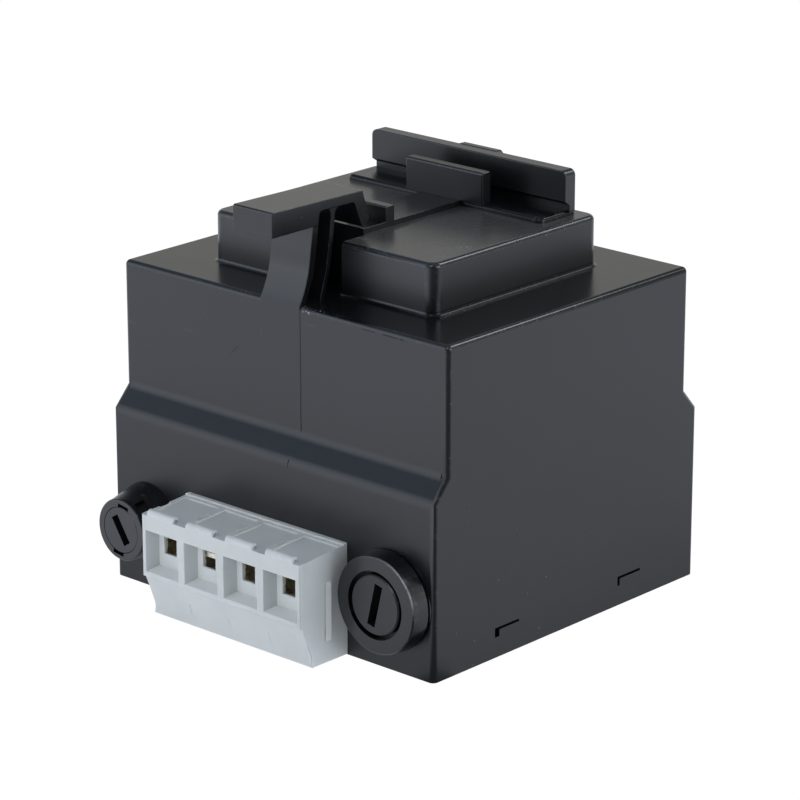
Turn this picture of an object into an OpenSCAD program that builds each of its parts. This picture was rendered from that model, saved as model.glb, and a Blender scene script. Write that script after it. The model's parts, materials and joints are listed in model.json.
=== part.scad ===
// Isolation transformer in a moulded box for a 35 mm top-hat rail.
// Frame: X along the rail, -Y the terminal side, +Z up; the origin is the
// centre of the flat cover that the box stands on, so the rail clip is on top.

/* [Box] */
// Width of the box along the rail
body_w = 80.6; // [80.2:0.2:81]
// Depth of the upper box, front wall to back wall
body_d = 66.7; // [66.3:0.2:67.1]
// Depth of the wider lower box
base_d = 73.9; // [73.7:0.1:74.1]
// Height of the box without the rail clip
body_h = 61.5; // [61.4:0.1:61.8]
// Height where the ledge starts to draw in
ledge_z0 = 33.4; // [33:0.2:33.8]
// Height where the ledge meets the upper wall
ledge_z1 = 37.4; // [37:0.2:37.8]
// Wall thickness of the moulding
wall = 2; // [1.9:0.05:2.1]

/* [Rail clip] */
// Width of the raised platform
plat_w = 54.8; // [54.4:0.2:55.2]
// Depth of the raised platform
plat_d = 45.6; // [45.4:0.1:45.8]
// Height of the platform's top face
plat_z = 71.3; // [71.2:0.1:71.4]
// Thickness of the pads that the rail's flanges rest on
pad_t = 1.05; // [1:0.05:1.1]
// Half width of the spring latch
latch_hw = 4.85; // [4.7:0.05:4.9]

/* [Terminals] */
// Pitch of the poles
pole_pitch = 10; // [9.9:0.05:10]
// Centre of the terminal block along X
tb_x = -0.45; // [-0.55:0.05:-0.35]
// Width of the terminal block
tb_w = 40; // [39.8:0.1:40.2]
// Travel of a clamp cage
cage_travel = 3; // [2:0.1:3]
// How far the second cage is already closed
cage2_closed = 1.9; // [0:0.1:2]

/* [Fuses] */
// Left fuse holder axis, X
fuse_xl = -31.3; // [-31.5:0.1:-31.1]
// Right fuse holder axis, X
fuse_xr = 30.1; // [29.9:0.1:30.3]
// Left fuse holder axis, height
fuse_zl = 13.1; // [12.9:0.1:13.3]
// Right fuse holder axis, height
fuse_zr = 13.4; // [13.2:0.1:13.6]
// How far the slim left holder stands out
fuse_out_l = 7.3; // [7:0.1:7.6]
// How far the wide right collar stands out
fuse_out_r = 4.2; // [4:0.1:4.4]

/* [Core] */
// Centre of the core along Y
core_y = 8; // [7.9:0.1:8]
// Centre of the core along Z
core_z = 40; // [39.8:0.1:40]

/* [Hidden] */
$fn = 64;
yf = -base_d / 2;              // plane of the lower front wall
yu = -body_d / 2;              // plane of the upper front wall
pad_z = plat_z + pad_t;        // seat of the rail's flanges
slot_z = pad_z + 1.1;          // underside of the claws
function fuse_z(x) = x < 0 ? fuse_zl : fuse_zr;
tilt = atan2((base_d - body_d) / 2, ledge_z1 - ledge_z0);
poles = [for (k = [0:3]) tb_x + 0.2 + (k - 1.5) * pole_pitch];
tb_yf = yf - 12.35;            // front face of the terminal block
bar_z = 11;                    // underside of the contact bars
black = "#26282b";
jet = "#1c1d20";
pale = "#c6cbd0";
tin = "#b7b3a4";
brass = "#b08d4a";
steel = "#8f9296";

// ---------------------------------------------------------------- helpers
// Box between two corners
module span(a, b) translate(a) cube(b - a);

// Rounded rectangle about the origin
module rr2(w, h, r) {
  square([w - 2 * r, h], center = true);
  square([w, h - 2 * r], center = true);
  for (i = [-1, 1], j = [-1, 1])
    translate([i * (w / 2 - r), j * (h / 2 - r)]) circle(r = r);
}

// Rectangle standing on the axis with its two upper corners rounded
module rtop2(w, h, r) {
  translate([-w / 2, 0]) square([w, h - r]);
  translate([-w / 2 + r, 0]) square([w - 2 * r, h]);
  for (i = [-1, 1]) translate([i * (w / 2 - r), h - r]) circle(r = r);
}

// Outline in (Y, Z) drawn out along X, about x = 0
module along_x(l) rotate([90, 0, 90]) linear_extrude(height = l, center = true) children();
// Outline in (X, Z) drawn out along Y, about y = 0
module along_y(l) rotate([90, 0, 0]) linear_extrude(height = l, center = true) children();

// Block with rounded upright edges and rounded top edges
module rbox(w, d, z0, z1, rv, rt) translate([0, 0, z0]) {
  h = z1 - z0;
  along_x(w - 2 * rv) rtop2(d, h, rt);
  along_y(d - 2 * rv) rtop2(w, h, rt);
  for (i = [-1, 1], j = [-1, 1]) translate([i * (w / 2 - rv), j * (d / 2 - rv), 0])
    rotate_extrude() intersection() {
      rtop2(2 * rv, h, rt);
      square([rv + 1, h + 1]);
    }
}

// Turned part about Y: points are (radius, distance inwards from y0)
module turned(x, y0, z, pts) translate([x, y0, z]) rotate([-90, 0, 0]) rotate_extrude() polygon(pts);

function arc(c, r, a0, a1, n) =
  [for (i = [0:n]) let (a = a0 + (a1 - a0) * i / n) [c[0] + r * cos(a), c[1] + r * sin(a)]];
function flip(pts) = [for (i = [len(pts) - 1:-1:0]) [-pts[i][0], pts[i][1]]];
function unit(v) = v / norm(v);

// Insulated lead: an eight-sided tube along the given points
module lead(pts, r) {
  n = len(pts);
  t = [for (i = [0:n - 1]) unit(i == 0 ? pts[1] - pts[0] : i == n - 1 ? pts[n - 1] - pts[n - 2]
       : unit(pts[i + 1] - pts[i]) + unit(pts[i] - pts[i - 1]))];
  u = [for (v = t) unit(cross(v, [0.31, 0.11, -0.94]))];
  rings = [for (i = [0:n - 1], k = [0:7]) let (w = cross(t[i], u[i]))
    pts[i] + r * (cos(45 * k) * u[i] + sin(45 * k) * w)];
  polyhedron(points = rings, faces = concat(
    [[for (k = [0:7]) k]],
    [for (i = [0:n - 2], k = [0:7], h = [0, 1])
      h == 0 ? [i * 8 + k, (i + 1) * 8 + k, (i + 1) * 8 + (k + 1) % 8]
             : [i * 8 + k, (i + 1) * 8 + (k + 1) % 8, i * 8 + (k + 1) % 8]],
    [[for (k = [7:-1:0]) (n - 1) * 8 + k]]));
}

// ---------------------------------------------------------------- box
// Long slanted block whose outer long edges are rounded, laid along the ledge
module ledge_block(r) translate([0, (yf + yu) / 2, (ledge_z0 + ledge_z1) / 2])
  rotate([-tilt, 0, 0]) linear_extrude(height = 160, center = true) {
    translate([-body_w / 2, r]) square([body_w, 100]);
    translate([-body_w / 2 + r, 0]) square([body_w - 2 * r, 100]);
    for (i = [-1, 1]) translate([i * (body_w / 2 - r), r]) circle(r = r);
  }

module box_outer() {
  r = 3.2;
  t = r * tan(tilt / 2);
  side = concat([[-yf, -1]], arc([-yf - r, ledge_z0 - t], r, 0, tilt, 8),
    [[-yu - 1.8, ledge_z1 + 1.8 * (ledge_z1 - ledge_z0) / (yu - yf)]]);
  rbox(body_w, body_d, 30, body_h, 1.0, 0.95);
  intersection() {
    linear_extrude(height = ledge_z1 + 5) rr2(body_w, base_d, 1.05);
    along_x(body_w + 2) polygon(concat(side, flip(side)));
    ledge_block(0.9);
    mirror([0, 1, 0]) ledge_block(0.9);
  }
  // hollow fillet where the ledge meets the upper wall
  f = 2.8;
  ft = f * tan(tilt / 2);
  fillet = concat([[-yu - 0.8, ledge_z1 + ft], [-yu - 0.8, ledge_z1 - 1]],
    arc([-yu + f, ledge_z1 + ft], f, 180 + tilt, 180, 8));
  for (m = [0, 1]) mirror([0, m, 0]) along_x(body_w - 3) polygon(fillet);
}

module box_cavity() {
  k = wall * tan(tilt / 2);
  side = [[-yf - wall, -1], [-yf - wall, ledge_z0 - k], [-yu - wall, ledge_z1 - k],
          [-yu - wall, body_h - wall]];
  along_x(body_w - 2 * wall) polygon(concat(side, flip(side)));
}

module rail_clip_fixed() {
  // pad strip with the low inner lip
  span([-latch_hw, -16.5, plat_z - 0.5], [latch_hw, 10.5, pad_z]);
  translate([0, -9.42, plat_z - 0.2]) along_x(2 * latch_hw) rtop2(2.45, 75.25 - plat_z + 0.2, 0.45);
  // pad plate under the fixed claw
  intersection() {
    span([-24.2, 9.9, plat_z - 0.5], [24.2, 19.4, pad_z]);
    translate([0, 15.9, plat_z - 1]) linear_extrude(height = 4) rr2(48.4, 12, 1.4);
  }
  // inner bar
  intersection() {
    translate([0.6, 11.15, pad_z - 0.4]) along_x(19) rtop2(2.5, 78.4 - pad_z + 0.4, 0.6);
    translate([0.6, 11.15, pad_z - 0.4]) along_y(6) rtop2(19, 78.4 - pad_z + 0.4, 0.9);
  }
  // long hooked bar and the pad behind it
  translate([0.45, 0, 0]) intersection() {
    along_x(48.1) polygon(concat([[19.4, pad_z - 0.4], [19.4, 79.4]], arc([18.8, 79.4], 0.6, 0, 90, 4),
      arc([17.25, 79.2], 0.8, 90, 180, 5), [[16.45, 74.3], [17.8, slot_z], [17.8, pad_z - 0.4]]));
    translate([0, 18, pad_z - 0.4]) along_y(6) rtop2(48.1, 80 - pad_z + 0.4, 1.3);
  }
  // gusset behind the hooked bar
  translate([0, 19.8, 0]) along_y(1.6) polygon([[-5.3, plat_z - 0.5], [6.9, plat_z - 0.5], [6.9, 78.9],
    [5.5, 80.1], [-3.6, 80.1], [-5.3, 78.6]]);
}

module housing() color(black) difference() {
  union() {
    difference() {
      union() {
        box_outer();
        rbox(plat_w, plat_d, body_h - 1, plat_z, 2.3, 1.0);
        translate([0, 0, body_h - 0.5]) linear_extrude(height = 0.7) rr2(plat_w + 0.4, plat_d + 0.4, 2.5);
        // square footing of the spring latch
        span([-latch_hw, yu, body_h - 2.2], [latch_hw, yu + 7, body_h]);
      }
      // notch in the platform for the latch
      span([-5.3, -plat_d / 2 - 2, body_h], [5.3, -16.5, plat_z + 2]);
    }
    rail_clip_fixed();
  }
  box_cavity();
  // hollow of the platform, clear of the notch
  difference() {
    span([-plat_w / 2 + wall, -plat_d / 2 + wall, body_h - wall - 1],
         [plat_w / 2 - wall, plat_d / 2 - wall, plat_z - wall]);
    span([-7.3, -plat_d / 2 - 1, body_h - wall], [7.3, -16.5 + wall, plat_z]);
  }
  // windows of the four snap hooks
  for (s = [-1, 1]) {
    span([s * body_w / 2 - 3, -20.5, 3.9], [s * body_w / 2 + 3, -13.9, 5.7]);
    span([s * body_w / 2 - 3, 14.2, 3.9], [s * body_w / 2 + 3, 20.8, 5.7]);
  }
  // opening behind the terminal block
  span([tb_x - 17.5, yf - 1, 6], [tb_x + 17.5, yf + wall + 1, 17]);
  // holes of the fuse holders
  for (x = [fuse_xl, fuse_xr])
    translate([x, yf - 1, fuse_z(x)]) rotate([-90, 0, 0]) cylinder(r = 5.75, h = wall + 2);
}

module base_cover() color(black) difference() {
  union() {
    span([-38, -34.65, 0], [38, 34.65, 2]);
    for (s = [0, 1]) mirror([s, 0, 0]) for (y = [[-19.25, -13.93], [14.85, 20.77]]) {
      span([36.5, y[0], 1.5], [38, y[1], 6.4]);
      translate([0, (y[0] + y[1]) / 2, 0]) along_y(y[1] - y[0])
        polygon([[37.5, 3.93], [40.2, 3.93], [40.2, 5.2], [39.3, 5.42], [37.5, 5.45]]);
    }
    for (x = [-22.5, 22.5], y = [core_y - 18, core_y + 18]) translate([x, y, 1]) cylinder(r = 3, h = core_z - 10 - 1);
  }
  for (x = [-22.5, 22.5], y = [core_y - 18, core_y + 18]) translate([x, y, 18]) cylinder(r = 1.2, h = 20);
}

// ---------------------------------------------------------------- rail latch
module rail_latch_head() color(black) along_x(2 * latch_hw)
  polygon(concat([[-40.1, 75.5], [-40.0, 79.58]], arc([-39.6, 79.56], 0.4, 180, 92, 3),
    [[-17.05, 79.55], [-16.6, 79.3], [-14.91, slot_z + 0.45], [-16.54, pad_z + 0.3], [-16.95, pad_z + 0.5],
     [-18.95, 77.75], [-27.85, 77.95], [-28.25, 75.3], [-39.9, 75.3]]));

module rail_latch_legs() color(black) along_x(2 * latch_hw) {
  polygon([[-29.7, 75.3], [-31.05, 66.9], [yu, body_h], [yu + 1.6, body_h], [-29.55, 66.7], [-28.25, 75.3]]);
  polygon([[-25.1, 77.889], [-25.0, 77.0], [-25.55, 72.1], [-26.4, 66.9], [-28.0, body_h], [-26.9, body_h],
    [-25.35, 66.9], [-24.5, 72.1], [-23.9, 77.0], [-23.3, 77.848]]);
}

// ---------------------------------------------------------------- terminals
tb_slope = 0.7 / 12.35;
function tb_top(y) = 20.4 + (y - tb_yf) * tb_slope;

// Wire funnel: wide at the front, narrow at the clamp
module funnel(x) intersection() {
  translate([0, 0, 5]) linear_extrude(height = 20)
    polygon([[x - 4.37, tb_yf - 0.2], [x + 4.37, tb_yf - 0.2], [x + 2.9, tb_yf + 2.3], [x - 2.9, tb_yf + 2.3]]);
  translate([x, 0, 0]) along_x(12)
    polygon([[tb_yf - 0.2, 9.3], [tb_yf - 0.2, 17.6], [tb_yf + 2.3, 16.4], [tb_yf + 2.3, 10.4]]);
}

module terminal_block() color(pale) difference() {
  union() {
    intersection() {
      translate([tb_x, 0, 0]) along_x(tb_w) polygon(concat(
        [[yf, 0.05], [tb_yf + 3.5, 0.05]], arc([tb_yf + 3.45, 0.5], 0.45, 255, 185, 3),
        [[tb_yf + 2.95, 1.6], [tb_yf + 2.8, 2.4], [tb_yf + 0.95, 7.9]], arc([tb_yf + 0.7, 8.9], 0.7, 275, 182, 5),
        [[tb_yf, 20.4], [yf, 21.1]]));
      // softened upright edges
      translate([tb_x, yf - 5, -1]) linear_extrude(height = 30) rr2(tb_w, 2 * (yf - 5 - tb_yf), 0.6);
    }
    // rounded rolls along the front edge, one for each pole
    for (x = poles) translate([x - 3.6, tb_yf + 0.95, 20.55]) rotate([0, 90, 0]) cylinder(r = 0.95, h = 6.7);
    // low ridge along the back edge
    span([tb_x - tb_w / 2, yf - 0.9, 20], [tb_x + tb_w / 2, yf, 21.4]);
    // ribs on both ends
    for (s = [-1, 1]) mirror([s < 0 ? 1 : 0, 0, 0])
      translate([s * tb_x + tb_w / 2, 0, 4.35]) linear_extrude(height = 11.25)
        polygon([[-0.5, yf - 5.45], [0, yf - 5.45], [0.35, yf - 6.1], [0.7, yf - 4.75], [-0.5, yf - 4.75]]);
    // plug through the box wall
    span([tb_x - 17.3, yf - 0.5, 6.2], [tb_x + 17.3, yf + wall + 1, 16.8]);
  }
  for (i = [0:3]) let (x = poles[i]) {
    funnel(x);
    // wire entry
    span([x - 1.55, tb_yf + 2, 12.9], [x + 1.55, tb_yf + 3.6, 16.2]);
    // chamber of the cage
    span([x - 2.95, tb_yf + 3.0, 2.9], [x + 2.95, tb_yf + 9.4, 18]);
    // screw shaft
    translate([x, tb_yf + 6.3, -1]) cylinder(r = 2.65, h = 4.2);
    // slit of the contact bar
    span([x - 1.45, tb_yf + 8.2, bar_z], [x + 1.45, yf + wall + 2, bar_z + 1.4]);
    // sunk panel on the top
    along_panel(x);
    // short slot beside the panel
    translate([x - 5, 0, 0]) along_x(0.7)
      polygon([[tb_yf + 4.5, tb_top(tb_yf + 4.5) - 0.5], [tb_yf + 7.2, tb_top(tb_yf + 7.2) - 0.5], [tb_yf + 7.2, 23], [tb_yf + 4.5, 23]]);
    // pin hole in the roll's end
    translate([x + 3.1 - 1.2, tb_yf + 0.95, 20.6]) rotate([0, 90, 0]) cylinder(r = 0.4, h = 1.5);
    // faint split line down the lower front
    if (i < 3) translate([x + 5, 0, 0]) along_x(0.16)
      polygon([[tb_yf, 2.5], [tb_yf + 2.84, 2.5], [tb_yf + 2.07, 4.8], [tb_yf, 4.8]]);
  }
}

module along_panel(x) translate([x, 0, 0]) along_x(8.3)
  polygon([[tb_yf + 1.3, tb_top(tb_yf + 1.3) - 0.35], [yf - 1.6, tb_top(yf - 1.6) - 0.35], [yf - 1.6, 23], [tb_yf + 1.3, 23]]);

module clamp_cage(i) color(tin) translate([poles[i], tb_yf + 3.1, i == 1 ? -cage2_closed : 0]) difference() {
  span([-2.65, 0, 6.2], [2.65, 6.2, 17.6]);
  span([-1.65, -1, 7.6], [1.65, 7, 16.6]);
  translate([0, 3.2, 5]) cylinder(r = 1.56, h = 4);
}

module clamp_screw(i) color(steel) translate([poles[i], tb_yf + 6.3, 0]) difference() {
  rotate_extrude() polygon([[0, 0.7], [2.1, 0.7], [2.4, 1.0], [2.4, 2.6], [1.5, 2.6], [1.5, 10.6], [1.2, 10.9], [0, 10.9]]);
  span([-0.35, -4, 0], [0.35, 4, 1.6]);
}

module contact_bar(i) color(tin) difference() {
  span([poles[i] - 1.45, tb_yf + 3.3, bar_z], [poles[i] + 1.45, yf + 7, bar_z + 1.4]);
  translate([poles[i], yf + 5.4, bar_z - 1]) cylinder(r = 0.8, h = 4);
}

// ---------------------------------------------------------------- fuse holders
// Closed tube behind the wall, from depth w0
function holder_inside(w0) = [[5.7, w0], [5.7, 27.5], [1.1, 27.5], [1.1, 26], [4.5, 26]];

module fuse_holder_left() color(jet) difference() {
  turned(fuse_xl, yf - fuse_out_l, fuse_zl, concat([[4.5, 0]], arc([5.65, 0.35], 0.35, -90, 0, 4),
    [[6, 0.9], [7.5, fuse_out_l]], holder_inside(fuse_out_l)));
  // entry notches of the bayonet
  for (a = [81, 261]) translate([fuse_xl, yf - fuse_out_l, fuse_zl]) rotate([0, -a, 0])
    span([4.3, -0.5, -1.35], [5.05, 1.6, 1.35]);
  // window in the side of the barrel
  translate([fuse_xl, yf - fuse_out_l, fuse_zl]) rotate([0, -50, 0]) span([4.95, 1.0, -1.5], [9, 3.2, 1.5]);
}

module fuse_holder_right() color(jet)
  turned(fuse_xr, yf - fuse_out_r, fuse_zr, concat([[6.4, 0]], arc([8.78, 0.35], 0.35, -90, 0, 4),
    [[9.5, fuse_out_r - 0.7], [9.1, fuse_out_r - 0.6], [9.1, fuse_out_r - 0.35], [9.6, fuse_out_r - 0.3],
     [9.6, fuse_out_r]], holder_inside(fuse_out_r), [[4.5, 2.6], [6.4, 2.6]]));

// Slotted cap with the sleeve that grips the fuse
module fuse_cap(x, out, rd, ch, slot_l, a) color(black) difference() {
  turned(x, yf - out, fuse_z(x), [[0, 0], [rd - ch, 0], [rd, ch], [rd, 2.4], [4.3, 2.4], [4.3, 10],
    [2.75, 10], [2.75, 3.6], [0, 3.6]]);
  translate([x, yf - out, fuse_z(x)]) rotate([0, a, 0]) span([-0.9, -1, -slot_l / 2], [0.9, 2.7, slot_l / 2]);
}
module fuse_cap_left() fuse_cap(fuse_xl, fuse_out_l, 4.45, 0.1, 5.9, -33);
module fuse_cap_right() fuse_cap(fuse_xr, fuse_out_r, 5.65, 0.25, 8.2, 13.5);

module fuse_tube(x, out) color("#cfe0e4") turned(x, yf - out, fuse_z(x), [[2.0, 5.0], [2.45, 5.0], [2.45, 23.8], [2.0, 23.8]]);
module fuse_ends(x, out) color(tin) {
  turned(x, yf - out, fuse_z(x), [[0, 4.4], [2.6, 4.4], [2.6, 10], [2.45, 10], [2.45, 5.0], [0, 5.0]]);
  turned(x, yf - out, fuse_z(x), [[0, 24.4], [0, 23.8], [2.45, 23.8], [2.45, 18.8], [2.6, 18.8], [2.6, 24.4]]);
}
module fuse_wire(x, out) color(tin) turned(x, yf - out, fuse_z(x), [[0, 5.0], [0.15, 5.0], [0.15, 23.8], [0, 23.8]]);
module fuse_rear_contact(x, out) color(brass) {
  turned(x, yf - out, fuse_z(x), [[0, 24.45], [3.2, 24.45], [3.2, 25.4], [1.1, 25.4], [1.1, 27.5], [0, 27.5]]);
  translate([x, yf - out, fuse_z(x)]) span([-1.5, 27.5, -0.4], [1.5, 33, 0.4]);
}
module fuse_side_contact(x, out, s) color(brass) translate([x, yf - out, fuse_z(x)]) {
  span([s > 0 ? 5.7 : -6.4, 12, -1.6], [s > 0 ? 6.4 : -5.7, 19, 1.6]);
}

// ---------------------------------------------------------------- transformer
module core_hole(y) for (x = [-22.5, 22.5]) translate([x, core_y + y, core_z - 12]) cylinder(r = 1.75, h = 24);

module core_e_stack() color("#6b6e72") difference() {
  translate([0, core_y, core_z]) {
    span([-27, 13.5, -10], [27, 22.5, 10]);
    for (x = [-22.5, 0, 22.5]) span([x - (x == 0 ? 9 : 4.5), -13.5, -10], [x + (x == 0 ? 9 : 4.5), 14, 10]);
  }
  core_hole(18);
}
module core_i_stack() color("#6b6e72") difference() {
  translate([0, core_y, core_z]) span([-27, -22.5, -10], [27, -13.5, 10]);
  core_hole(-18);
}
module core_screws() color(steel) for (x = [-22.5, 22.5], y = [core_y - 18, core_y + 18])
  translate([x, y, core_z]) difference() {
    rotate_extrude() polygon([[0, -21], [1.2, -21], [1.2, -10], [1.5, -10], [1.5, 10], [2.9, 10], [2.9, 11.4], [2.3, 12.2], [0, 12.2]]);
    span([-0.4, -4, 11.3], [0.4, 4, 13]);
  }

// Coil layer about the centre leg, from half size a to half size b
module coil(a, b, l) translate([0, core_y, core_z]) along_y(l) difference() {
  rr2(2 * b[0], 2 * b[1], 1.2);
  square([2 * a[0], 2 * a[1]], center = true);
}
module bobbin() color("#d8d2bd") {
  coil([9.2, 10.2], [10.2, 11.2], 24.6);
  for (s = [-1, 1]) translate([0, s * 12.8, 0]) coil([9.2, 10.2], [17.7, 18.2], 1.2);
}
module primary_winding() color("#9a4f24") coil([10.2, 11.2], [13.4, 14.4], 24.2);
module winding_insulation() color("#d9c45a") coil([13.4, 14.4], [13.8, 14.8], 24.2);
module secondary_winding() color("#a8602f") coil([13.8, 14.8], [16.6, 17.6], 24.2);
module outer_wrap() color("#d9c45a") coil([16.6, 17.6], [17.0, 18.0], 24.2);

// Leads between the terminals, the fuses and the coil
bar_e = yf + 7.05;
lead_z = bar_z + 0.7;
module lead_input_fuse() color("#7a4a2a") lead([[poles[0], bar_e, lead_z], [poles[0], bar_e + 1.6, lead_z],
  [-18.4, -26.6, 12.6], [-21.8, -26.4, 13.2], [fuse_xl + 6.6, -26.4, fuse_zl]], 0.75);
module lead_fuse_primary() color("#7a4a2a") lead([[fuse_xl, yf - fuse_out_l + 33.1, fuse_zl], [fuse_xl, -8.6, fuse_zl], [-30, -5, 18],
  [-24, -4.8, 23.8], [-20.4, -4.8, 24.8], [-17.8, -4.8, 25]], 0.75);
module lead_input_primary() color("#3d5f9e") lead([[poles[1], bar_e, lead_z], [poles[1], -24, 12], [-6, -15, 17],
  [-6, -9, 23.6], [-6, -5.7, 25]], 0.75);
module lead_output_secondary() color("#3d5f9e") lead([[poles[2], bar_e, lead_z], [poles[2], -24, 12], [5, -15, 17],
  [5, -9, 23.6], [5, -5.7, 25]], 0.75);
module lead_output_fuse() color("#2f2f2f") lead([[poles[3], bar_e, lead_z], [poles[3], bar_e + 1.6, lead_z],
  [17.3, -26, 12.6], [20.3, -24.6, 13.2], [fuse_xr - 6.5, -24.6, fuse_zr]], 0.75);
module lead_fuse_secondary() color("#2f2f2f") lead([[fuse_xr, yf - fuse_out_r + 33.1, fuse_zr], [fuse_xr, -6.6, fuse_zr + 0.4], [29, -4.9, 18],
  [24, -4.8, 23.8], [20.4, -4.8, 24.8], [17.8, -4.8, 25]], 0.75);

// ---------------------------------------------------------------- parts
housing();
base_cover();
rail_latch_head();
rail_latch_legs();
terminal_block();
clamp_cage(0);  // clamp_cage_1
clamp_cage(1);  // clamp_cage_2
clamp_cage(2);  // clamp_cage_3
clamp_cage(3);  // clamp_cage_4
clamp_screw(0);  // clamp_screw_1
clamp_screw(1);  // clamp_screw_2
clamp_screw(2);  // clamp_screw_3
clamp_screw(3);  // clamp_screw_4
contact_bar(0);  // contact_bar_1
contact_bar(1);  // contact_bar_2
contact_bar(2);  // contact_bar_3
contact_bar(3);  // contact_bar_4
fuse_holder_left();
fuse_cap_left();
fuse_tube(fuse_xl, fuse_out_l);  // fuse_tube_left
fuse_ends(fuse_xl, fuse_out_l);  // fuse_ends_left
fuse_wire(fuse_xl, fuse_out_l);  // fuse_wire_left
fuse_rear_contact(fuse_xl, fuse_out_l);  // fuse_rear_contact_left
fuse_side_contact(fuse_xl, fuse_out_l, 1);  // fuse_side_contact_left
fuse_holder_right();
fuse_cap_right();
fuse_tube(fuse_xr, fuse_out_r);  // fuse_tube_right
fuse_ends(fuse_xr, fuse_out_r);  // fuse_ends_right
fuse_wire(fuse_xr, fuse_out_r);  // fuse_wire_right
fuse_rear_contact(fuse_xr, fuse_out_r);  // fuse_rear_contact_right
fuse_side_contact(fuse_xr, fuse_out_r, -1);  // fuse_side_contact_right
core_e_stack();
core_i_stack();
core_screws();
bobbin();
primary_winding();
winding_insulation();
secondary_winding();
outer_wrap();
lead_input_fuse();
lead_fuse_primary();
lead_input_primary();
lead_output_secondary();
lead_output_fuse();
lead_fuse_secondary();
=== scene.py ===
import math, json
import bpy, bmesh
from mathutils import Vector, Matrix
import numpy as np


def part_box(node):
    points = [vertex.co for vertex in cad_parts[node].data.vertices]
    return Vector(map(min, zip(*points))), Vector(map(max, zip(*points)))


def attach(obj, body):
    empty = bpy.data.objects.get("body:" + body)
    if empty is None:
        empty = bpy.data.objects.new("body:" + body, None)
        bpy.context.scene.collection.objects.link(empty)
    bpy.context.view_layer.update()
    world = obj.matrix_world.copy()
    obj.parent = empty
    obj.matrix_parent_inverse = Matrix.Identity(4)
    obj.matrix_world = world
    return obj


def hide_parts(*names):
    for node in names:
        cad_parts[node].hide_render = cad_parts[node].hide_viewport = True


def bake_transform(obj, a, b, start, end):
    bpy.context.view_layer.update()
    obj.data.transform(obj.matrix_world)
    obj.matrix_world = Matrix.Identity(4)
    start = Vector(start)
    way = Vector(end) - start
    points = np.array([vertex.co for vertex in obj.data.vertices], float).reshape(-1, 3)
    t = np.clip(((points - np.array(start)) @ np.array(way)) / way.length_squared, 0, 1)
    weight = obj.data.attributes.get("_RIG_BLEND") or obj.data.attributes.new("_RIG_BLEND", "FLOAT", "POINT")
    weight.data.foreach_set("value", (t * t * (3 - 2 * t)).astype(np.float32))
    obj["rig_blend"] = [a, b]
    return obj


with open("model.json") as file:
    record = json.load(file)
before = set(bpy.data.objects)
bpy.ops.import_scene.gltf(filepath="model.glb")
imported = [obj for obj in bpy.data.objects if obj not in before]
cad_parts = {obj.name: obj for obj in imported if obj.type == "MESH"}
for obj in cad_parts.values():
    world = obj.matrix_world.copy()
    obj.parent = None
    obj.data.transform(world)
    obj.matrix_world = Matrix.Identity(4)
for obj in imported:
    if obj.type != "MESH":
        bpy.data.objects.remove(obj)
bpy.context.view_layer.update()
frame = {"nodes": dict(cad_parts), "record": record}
N = frame["nodes"]
BODY = {n: b for b, ns in frame["record"]["behaviour"]["bodies"].items() for n in ns}
SLOT = {s["node"]: s["material_slot"] for s in frame["record"]["subparts"]}
scene = bpy.context.scene
scene.view_settings.view_transform = "Standard"
MM = 0.001

# ------------------------------------------------------------------ camera
AZ, EL = math.radians(42.307), math.radians(18.301)
back = Vector((math.sin(AZ) * math.cos(EL), -math.cos(AZ) * math.cos(EL), math.sin(EL)))
cd = bpy.data.cameras.new("camera")
cam = bpy.data.objects.new("camera", cd)
scene.collection.objects.link(cam)
cd.sensor_width = 36
cd.lens = 165.20
cd.clip_start, cd.clip_end = 0.05, 50
cam.location = (0.438513, -0.483254, 0.250581)
cam.rotation_mode = "QUATERNION"
cam.rotation_quaternion = (-back).to_track_quat("-Z", "Y")
scene.camera = cam


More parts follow.
